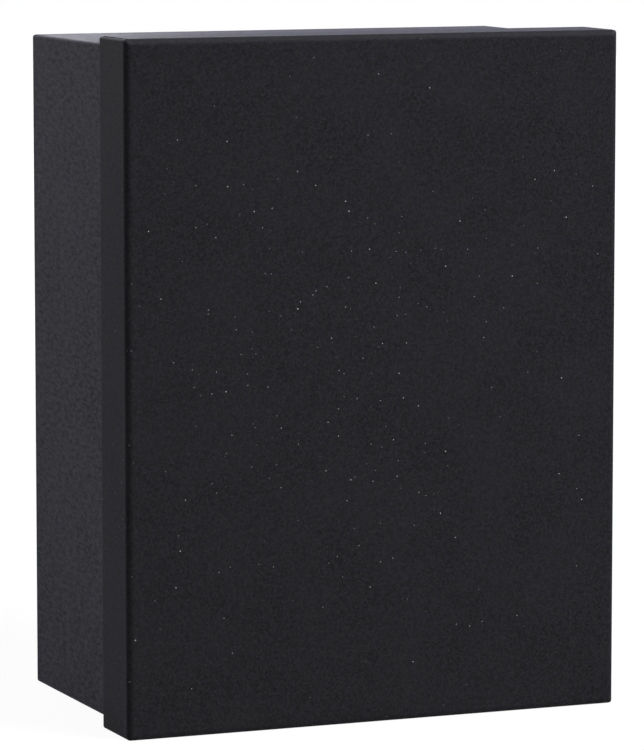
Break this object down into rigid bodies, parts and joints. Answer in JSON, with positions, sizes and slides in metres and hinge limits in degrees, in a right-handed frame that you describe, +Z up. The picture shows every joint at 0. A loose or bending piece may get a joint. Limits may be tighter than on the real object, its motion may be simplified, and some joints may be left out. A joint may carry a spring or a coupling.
{
  "type": "lidded gift box",
  "caption": "Upright rigid gift box: a shallow telescoping lid slips over a deeper tray base, both of greyboard panels covered in dark shimmer paper.",
  "frame": {"origin": "middle of the closed box in X and Y, on the surface it stands on", "axes": "+Z up along the box's height as it stands, -Y out of the lid's large face, +Y out of the base's large face, X across the width"},
  "size_m": [0.184, 0.106, 0.24],
  "materials": {
    "covering_paper": "fine matte shimmer",
    "lining_paper": "matte",
    "greyboard": "raw",
    "corner_tape": "kraft"
  },
  "bodies": {
    "base": {"base_wrap": "covering_paper", "base_wall_lining": "lining_paper", "base_floor_lining": "lining_paper", "base_back_board": "greyboard", "base_left_board": "greyboard", "base_right_board": "greyboard", "base_upper_board": "greyboard", "base_lower_board": "greyboard", "base_tape_lower_left": "corner_tape", "base_tape_lower_right": "corner_tape", "base_tape_upper_right": "corner_tape", "base_tape_upper_left": "corner_tape"},
    "lid": {"lid_wrap": "covering_paper", "lid_lining": "lining_paper", "lid_face_board": "greyboard", "lid_left_board": "greyboard", "lid_right_board": "greyboard", "lid_upper_board": "greyboard", "lid_lower_board": "greyboard", "lid_tape_lower_left": "corner_tape", "lid_tape_lower_right": "corner_tape", "lid_tape_upper_right": "corner_tape", "lid_tape_upper_left": "corner_tape"}
  },
  "joints": [
    {"name": "lid_lift", "type": "slide", "parent": "base", "child": "lid", "axis": [0, -1, 0], "range_m": [0, 0.15]}
  ]
}
